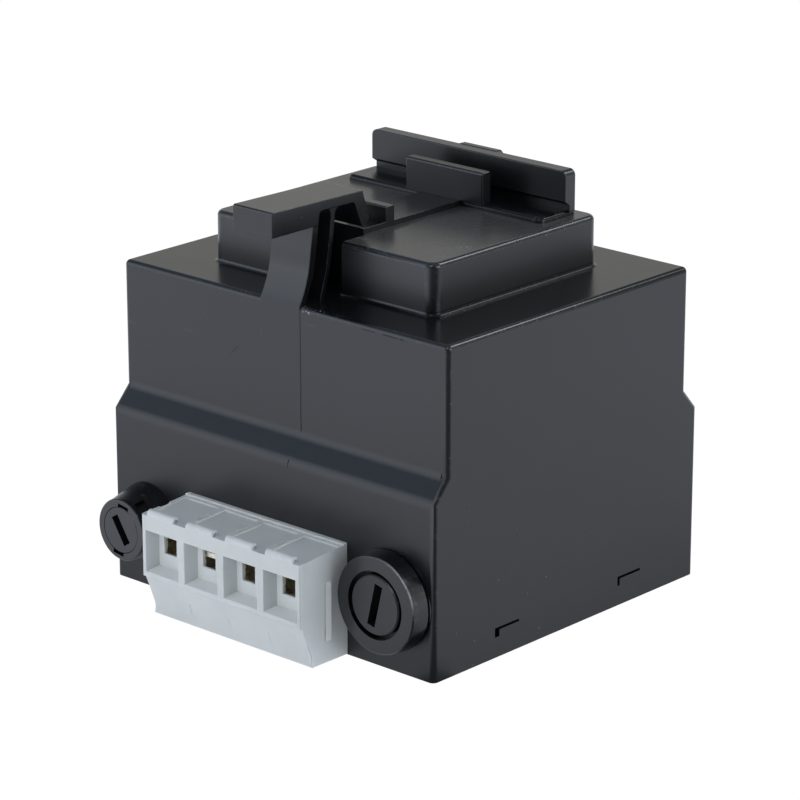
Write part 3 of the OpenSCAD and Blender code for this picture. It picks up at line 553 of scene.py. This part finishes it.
# ------------------------------------------------------------------ meshes
def smooth(o, angle=48):
    """Flats stay flat and rounded edges run between them: each corner takes the
    normal of the widest flat that meets it within the angle."""
    me = o.data
    me.shade_smooth()
    me.set_sharp_from_angle(angle=math.radians(angle))
    bm = bmesh.new()
    bm.from_mesh(me)
    bm.normal_update()
    group = list(range(len(bm.faces)))

    def root(i):
        while group[i] != i:
            group[i] = group[group[i]]
            i = group[i]
        return i

    turn = {}
    for ed in bm.edges:
        if len(ed.link_faces) == 2:
            turn[ed.index] = ed.calc_face_angle(0.0)
            if turn[ed.index] < 0.008:
                group[root(ed.link_faces[0].index)] = root(ed.link_faces[1].index)
    area = {}
    for f in bm.faces:
        area[root(f.index)] = area.get(root(f.index), 0.0) + f.calc_area()
    limit = math.radians(angle)
    normals = {}
    for v in bm.verts:
        fan = {f.index: f.index for f in v.link_faces}

        def top(i):
            while fan[i] != i:
                i = fan[i]
            return i

        for ed in v.link_edges:
            if turn.get(ed.index, 9.0) <= limit:
                fan[top(ed.link_faces[0].index)] = top(ed.link_faces[1].index)
        sums = {}
        for lp in v.link_loops:
            k = top(lp.face.index)
            w = area[root(lp.face.index)] ** 2 * lp.calc_angle()
            sums[k] = sums.get(k, Vector((0, 0, 0))) + lp.face.normal * w
        for lp in v.link_loops:
            normals[(lp.face.index, v.index)] = sums[top(lp.face.index)].normalized()
    bm.free()
    me.normals_split_custom_set([normals[(f.index, me.loops[i].vertex_index)] for f in me.polygons for i in f.loop_indices])


def mark_edges(bm, thin=0.33):
    """1 on the narrow faces of rounded edges, 0 on flats; worn edges read it."""
    lay = bm.faces.layers.float.get("edge") or bm.faces.layers.float.new("edge")
    bm.normal_update()
    seen = set()
    for f in bm.faces:
        if f in seen:
            continue
        # faces in one plane count as one
        seen.add(f)
        group, area, rim = [f], 0.0, 0.0
        for g in group:
            area += g.calc_area()
            for ed in g.edges:
                mates = [h for h in ed.link_faces if h is not g]
                if len(mates) == 1 and mates[0].normal.dot(g.normal) > 0.99998:
                    if mates[0] not in seen:
                        seen.add(mates[0])
                        group.append(mates[0])
                else:
                    rim += ed.calc_length()
        value = 1.0 if rim > 0 and area / rim < thin * MM else 0.0
        for g in group:
            g[lay] = value


def add_piece(name, bm, nodes, body, mat, angle=48):
    me = bpy.data.meshes.new(name)
    bm.normal_update()
    bm.to_mesh(me)
    bm.free()
    o = bpy.data.objects.new(name, me)
    scene.collection.objects.link(o)
    me.materials.append(mat.m)
    smooth(o, angle)
    if body:
        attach(o, body)
    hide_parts(*nodes)
    return o


def rounded(node, rules, dissolve=0.6, angle=48, mat=None):
    """A copy of a CAD node whose sharp edges are rounded. rules: (test of an edge, width mm, steps)."""
    bm = bmesh.new()
    bm.from_mesh(N[node].data)
    bmesh.ops.remove_doubles(bm, verts=bm.verts, dist=2e-6)
    bmesh.ops.dissolve_limit(bm, angle_limit=math.radians(dissolve), use_dissolve_boundaries=False, verts=bm.verts, edges=bm.edges)
    for test, width, steps in rules:
        bm.normal_update()
        es = []
        for ed in bm.edges:
            if len(ed.link_faces) != 2:
                continue
            a = math.degrees(ed.calc_face_angle(0.0))
            mid = (ed.verts[0].co + ed.verts[1].co) / 2 / MM
            if test(a, mid, ed.calc_length() / MM, ed.is_convex):
                es.append(ed)
        if es:
            bmesh.ops.bevel(bm, geom=es, offset=width * MM, offset_type="OFFSET", segments=steps, profile=0.5, affect="EDGES", clamp_overlap=False, loop_slide=True, material=-1)
    bmesh.ops.triangulate(bm, faces=[f for f in bm.faces if len(f.verts) > 4])
    mark_edges(bm)
    return add_piece("v_" + node, bm, [node], BODY[node], mat or MATS[SLOT[node]], angle)


def join(bm, part):
    tmp = bpy.data.meshes.new("part")
    part.to_mesh(tmp)
    part.free()
    bm.from_mesh(tmp)
    bpy.data.meshes.remove(tmp)


def prism(outline, axis, a, b):
    """Outline in the two other axes, mm, drawn out from a to b along an axis."""
    bm = bmesh.new()
    put = {"x": lambda p, t: (t, p[0], p[1]), "y": lambda p, t: (p[0], t, p[1]), "z": lambda p, t: (p[0], p[1], t)}[axis]
    low = [bm.verts.new(Vector(put(p, a)) * MM) for p in outline]
    top = [bm.verts.new(Vector(put(p, b)) * MM) for p in outline]
    n = len(outline)
    bm.faces.new(low)
    bm.faces.new(top[::-1])
    for i in range(n):
        bm.faces.new((low[i], top[i], top[(i + 1) % n], low[(i + 1) % n]))
    bmesh.ops.recalc_face_normals(bm, faces=bm.faces)
    return bm


def soften(bm, test, width, steps=4):
    """Rounds the edges that test(middle mm, direction) picks."""
    es = []
    for ed in bm.edges:
        d = ed.verts[1].co - ed.verts[0].co
        if len(ed.link_faces) == 2 and ed.calc_face_angle(0.0) > 0.01 and test((ed.verts[0].co + ed.verts[1].co) / 2 / MM, d.normalized()):
            es.append(ed)
    if es:
        bmesh.ops.bevel(bm, geom=es, offset=width * MM, offset_type="OFFSET", segments=steps, profile=0.5, affect="EDGES", clamp_overlap=False, loop_slide=True, material=-1)
    return bm


def fillet(pts, radii, steps=5):
    """Outline with its corners rounded by the given radii."""
    out = []
    n = len(pts)
    for i, p in enumerate(pts):
        r = radii[i]
        p = Vector(p)
        if not r:
            out.append(p)
            continue
        a = (Vector(pts[i - 1]) - p).normalized()
        b = (Vector(pts[(i + 1) % n]) - p).normalized()
        half = math.acos(max(-1, min(1, a.dot(b)))) / 2
        cut = r / math.tan(half)
        c = p + (a + b).normalized() * (r / math.sin(half))
        s, e = p + a * cut - c, p + b * cut - c
        t0 = math.atan2(s.y, s.x)
        dt = (math.atan2(e.y, e.x) - t0 + math.pi) % (2 * math.pi) - math.pi
        for k in range(steps + 1):
            t = t0 + dt * k / steps
            out.append(c + r * Vector((math.cos(t), math.sin(t))))
    return out


def drawn_out(outline, half, round_w, steps=3, at=0.0):
    """Outline in (y, z), mm, drawn out along x to both sides, with its rim rounded."""
    bm = bmesh.new()
    left = [bm.verts.new(((at - half) * MM, p[0] * MM, p[1] * MM)) for p in outline]
    right = [bm.verts.new(((at + half) * MM, p[0] * MM, p[1] * MM)) for p in outline]
    n = len(outline)
    bm.faces.new(left)
    bm.faces.new(right[::-1])
    for i in range(n):
        bm.faces.new((left[i], right[i], right[(i + 1) % n], left[(i + 1) % n]))
    bmesh.ops.recalc_face_normals(bm, faces=bm.faces)
    rim = [ed for ed in bm.edges if abs(ed.verts[0].co.x - ed.verts[1].co.x) < 1e-7]
    bmesh.ops.bevel(bm, geom=rim, offset=round_w * MM, offset_type="OFFSET", segments=steps, profile=0.5, affect="EDGES", clamp_overlap=False, loop_slide=True, material=-1)
    bmesh.ops.triangulate(bm, faces=[f for f in bm.faces if len(f.verts) > 4])
    return bm


def bar(x0, x1, y0, y1, z0, z1, r, rim):
    """Upright bar along x, its long top edges rounded by r and its ends by rim."""
    return drawn_out(fillet([(y0, z0), (y1, z0), (y1, z1), (y0, z1)], [0, 0, r, r]), (x1 - x0) / 2, rim, at=(x0 + x1) / 2)


def foot(w=27.4, d=22.8, r=2.3, z=61.5, f=0.75):
    """Hollow fillet round the platform's foot, open at the notch of the latch."""
    path = [((5.3, -d), (0, -1))]
    for cx, cy, a0 in ((w - r, -d + r, -90), (w - r, d - r, 0), (-w + r, d - r, 90), (-w + r, -d + r, 180)):
        for k in range(13):
            a = math.radians(a0 + 90 * k / 12)
            n = (math.cos(a), math.sin(a))
            path.append(((cx + r * n[0], cy + r * n[1]), n))
    path.append(((-5.3, -d), (0, -1)))
    side = [(-0.3, z - 0.3), (f, z - 0.3)]
    side += [(f - f * math.sin(math.radians(9 * k)), z + f - f * math.cos(math.radians(9 * k))) for k in range(11)] + [(-0.3, z + f)]
    bm = bmesh.new()
    rings = [[bm.verts.new(Vector((c[0] + n[0] * o, c[1] + n[1] * o, h)) * MM) for o, h in side] for c, n in path]
    k = len(side)
    for a, b in zip(rings, rings[1:]):
        for i in range(k):
            bm.faces.new((a[i], b[i], b[(i + 1) % k], a[(i + 1) % k]))
    bm.faces.new(rings[0])
    bm.faces.new(rings[-1][::-1])
    bmesh.ops.recalc_face_normals(bm, faces=bm.faces)
    return bm


def housing():
    bm = bmesh.new()
    bm.from_mesh(N["housing"].data)
    bmesh.ops.remove_doubles(bm, verts=bm.verts, dist=2e-6)
    # the clip above the platform is drawn again with rounder edges
    bmesh.ops.bisect_plane(bm, geom=list(bm.verts) + list(bm.edges) + list(bm.faces), dist=1e-8, plane_co=(0, 0, PLAT * MM + 4e-7), plane_no=(0, 0, 1), clear_outer=True)
    bmesh.ops.holes_fill(bm, edges=[ed for ed in bm.edges if ed.is_boundary], sides=0)
    bmesh.ops.remove_doubles(bm, verts=bm.verts, dist=2e-6)
    bmesh.ops.dissolve_limit(bm, angle_limit=math.radians(0.6), use_dissolve_boundaries=False, verts=bm.verts, edges=bm.edges)
    bm.normal_update()
    notch = [ed for ed in bm.edges if len(ed.link_faces) == 2 and ed.is_convex and ed.calc_face_angle(0.0) > 1.2 and ed.calc_length() > 1 * MM and
             abs(abs((ed.verts[0].co.x + ed.verts[1].co.x) / 2 / MM) - 5.3) < 0.02 and ed.verts[0].co.z > 61.6 * MM and ed.verts[0].co.y < -16 * MM]
    bmesh.ops.bevel(bm, geom=notch, offset=0.12 * MM, offset_type="OFFSET", segments=2, profile=0.5, affect="EDGES", clamp_overlap=True, loop_slide=True, material=-1)
    bmesh.ops.triangulate(bm, faces=[f for f in bm.faces if len(f.verts) > 4])
    join(bm, foot())
    # pad strip, low inner lip
    join(bm, soften(prism([(-HW, -16.51), (HW, -16.51), (HW, 10.5), (-HW, 10.5)], "z", PLAT - 0.3, PAD), lambda p, d: p.z > PAD - 0.01, 0.07, 2))
    join(bm, bar(-HW, HW, -10.645, -8.195, PAD - 0.3, 75.25, 0.45, 0.2))
    # pad plate under the fixed claw
    plate = prism([(-24.2, 9.9), (24.2, 9.9), (24.2, 19.4), (-24.2, 19.4)], "z", PLAT - 0.3, PAD)
    soften(plate, lambda p, d: abs(d.z) > 0.9 and p.y < 10, 1.6, 6)
    join(bm, soften(plate, lambda p, d: p.z > PAD - 0.01, 0.7, 6))
    # inner bar
    join(bm, bar(-8.9, 10.1, 9.9, 12.4, PAD - 0.3, 78.4, 0.5, 0.28))
    # long hooked bar
    claw = prism([(19.4, PAD - 0.3), (19.4, 80.0), (16.45, 80.0), (16.45, 74.3), (17.8, 73.45), (17.8, PAD - 0.3)], "x", -23.6, 24.5)
    soften(claw, lambda p, d: abs(d.y) > 0.9 and p.z > 79.9, 1.2, 8)
    soften(claw, lambda p, d: p.y < 16.5 and p.z > 74.4, 0.22, 3)
    soften(claw, lambda p, d: p.y > 19.35 and p.z > 74, 0.22, 3)
    join(bm, claw)
    # gusset behind it
    web = prism([(-5.3, PLAT - 0.3), (6.9, PLAT - 0.3), (6.9, 78.9), (5.5, 80.1), (-3.6, 80.1), (-5.3, 78.6)], "y", 19.0, 20.6)
    join(bm, soften(web, lambda p, d: p.z > PLAT, 0.22, 3))
    bmesh.ops.triangulate(bm, faces=[f for f in bm.faces if len(f.verts) > 4])
    mark_edges(bm)
    # the broad bends of the ledge are not worn
    lay = bm.faces.layers.float["edge"]
    for f in bm.faces:
        c = f.calc_center_median() / MM
        if 22 < c.z < 42 and abs(c.y) > 30 and abs(f.normal.x) < 0.1:
            f[lay] = 0.0
    return add_piece("v_housing", bm, ["housing"], BODY["housing"], MATS[SLOT["housing"]], 48)


PLAT, PAD = 71.3, 72.35
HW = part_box("rail_latch_head")[1][0] / MM
housing()
cover = rounded("base_cover", [(lambda a, p, l, c: a > 40 and c and p.z < 2.5 and l > 0.5, 0.25, 2)])
for v in cover.data.vertices:
    if abs(v.co.x) > 38.05 * MM:
        if v.co.z < 4 * MM:
            v.co.z = 3.86 * MM
        if abs(v.co.x) > 40.1 * MM:
            v.co.x = math.copysign(40.295 * MM, v.co.x)
        if min(abs(v.co.y - q * MM) for q in (-13.93, 20.77)) < 0.02 * MM:
            v.co.y += 0.06 * MM


# spring latch: head drawn in the (y, z) plane with rounded inner corners
head = [(-40.1, 75.3), (-40.0, 79.97), (-16.69, 79.55), (-14.91, 73.9), (-16.54, 72.65), (-16.95, 72.87), (-18.95, 77.75), (-27.85, 77.95), (-28.25, 75.3)]
bm = drawn_out(fillet(head, [0.3, 0.42, 0.3, 0.25, 0.12, 0.12, 0.85, 0.85, 0.0]), HW, 0.15)
mark_edges(bm)
add_piece("v_rail_latch_head", bm, ["rail_latch_head"], "latch", latch_m, 40)


def leg(outer, inner, z0, z1, n, c=0.18):
    """A thin leg lofted upwards: outer(z) and inner(z) are its two faces."""
    bm = bmesh.new()
    rings = []
    for i in range(n + 1):
        z = z0 + (z1 - z0) * i / n
        a, b = outer(z), inner(z)
        ring = []
        for sx, sy in ((-1, 0), (1, 0), (1, 1), (-1, 1)):
            y0, s = (a, 1) if sy == 0 else (b, -1)
            corner = [(sx * HW, y0 + s * c), (sx * (HW - 0.3 * c), y0 + s * 0.3 * c), (sx * (HW - c), y0)]
            if (sx < 0) == (sy == 1):
                corner.reverse()
            ring += corner
        rings.append([bm.verts.new((x * MM, y * MM, z * MM)) for x, y in ring])
    k = len(rings[0])
    for a, b in zip(rings, rings[1:]):
        for i in range(k):
            bm.faces.new((a[i], a[(i + 1) % k], b[(i + 1) % k], b[i]))
    bm.faces.new(rings[0][::-1])
    bm.faces.new(rings[-1])
    bmesh.ops.recalc_face_normals(bm, faces=bm.faces)
    return bm


def through(pts):
    """Smooth curve y(z) through points sorted by z."""
    def f(z):
        for i in range(len(pts) - 1):
            if z <= pts[i + 1][0] or i == len(pts) - 2:
                break
        (z0, y0), (z1, y1) = pts[i], pts[i + 1]
        zp, yp = pts[i - 1] if i else (2 * z0 - z1, 2 * y0 - y1)
        zn, yn = pts[i + 2] if i + 2 < len(pts) else (2 * z1 - z0, 2 * y1 - y0)
        t = (z - z0) / (z1 - z0)
        m0 = (y1 - yp) / (z1 - zp) * (z1 - z0)
        m1 = (yn - y0) / (zn - z0) * (z1 - z0)
        return (2 * t ** 3 - 3 * t * t + 1) * y0 + (t ** 3 - 2 * t * t + t) * m0 + (3 * t * t - 2 * t ** 3) * y1 + (t ** 3 - t * t) * m1
    return f


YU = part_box("rail_latch_legs")[0][1] / MM
front = leg(through([(61.5, YU), (62.6, -32.72), (64.4, -31.9), (66.9, -31.05), (71, -30.38), (75.3, -29.7)]),
            through([(61.5, YU + 1.6), (64.2, -30.55), (66.7, -29.55), (71, -28.85), (75.3, -28.25)]), 61.5, 75.3, 22)
ribs = leg(through([(61.5, -28.0), (66.9, -26.4), (72.1, -25.55), (76.6, -25.02), (77.2, -25.1), (77.9, -25.75)]),
           through([(61.5, -26.9), (66.9, -25.35), (72.1, -24.5), (76.6, -23.93), (77.2, -23.8), (77.85, -23.1)]), 61.5, 77.85, 30, 0.14)
tmp = bpy.data.meshes.new("rib")
ribs.to_mesh(tmp)
ribs.free()
front.from_mesh(tmp)
bpy.data.meshes.remove(tmp)
mark_edges(front, 0.12)
legs = add_piece("v_rail_latch_legs", front, ["rail_latch_legs"], None, latch_m, 40)
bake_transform(legs, "box", "latch", (0, 0, 0.0615), (0, 0, 0.0753))

# terminals
lo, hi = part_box("terminal_block")


def block_edge(a, p, l, convex):
    return a > 30 and l > 0.75 and convex and p.y < -37.2 and not (p.y > lo[1] / MM + 3.3 and 1 < p.z < 18.5 and abs(p.x + 0.45) < 19.5)


def flank_edge(a, p, l, convex):
    return a > 30 and l > 0.75 and convex and p.z < 8.3 and p.y < -44 and (p.x < -19.5 or p.x > 18.6)


rounded("terminal_block", [(flank_edge, 0.5, 4), (block_edge, 0.16, 2)], angle=42)
for k in "1234":
    rounded("clamp_cage_" + k, [(lambda a, p, l, c: a > 40 and c and l > 0.6, 0.14, 2)])
    rounded("clamp_screw_" + k, [(lambda a, p, l, c: a > 60 and c and l > 0.6 and p.z < 1.2, 0.06, 2)])
    rounded("contact_bar_" + k, [(lambda a, p, l, c: a > 60 and c and l > 1.0, 0.1, 2)])

# fuse holders and caps
for s in ("left", "right"):
    rounded("fuse_holder_" + s, [], angle=32, mat=slim_m if s == "left" else None)
    rounded("fuse_cap_" + s, [], angle=32, mat=knob_m if s == "left" else None)

# everything inside keeps its CAD mesh
for n, o in N.items():
    o.data.materials.clear()
    mat = lead_m.get(n) or MATS[SLOT[n]]
    o.data.materials.append(mat.m)
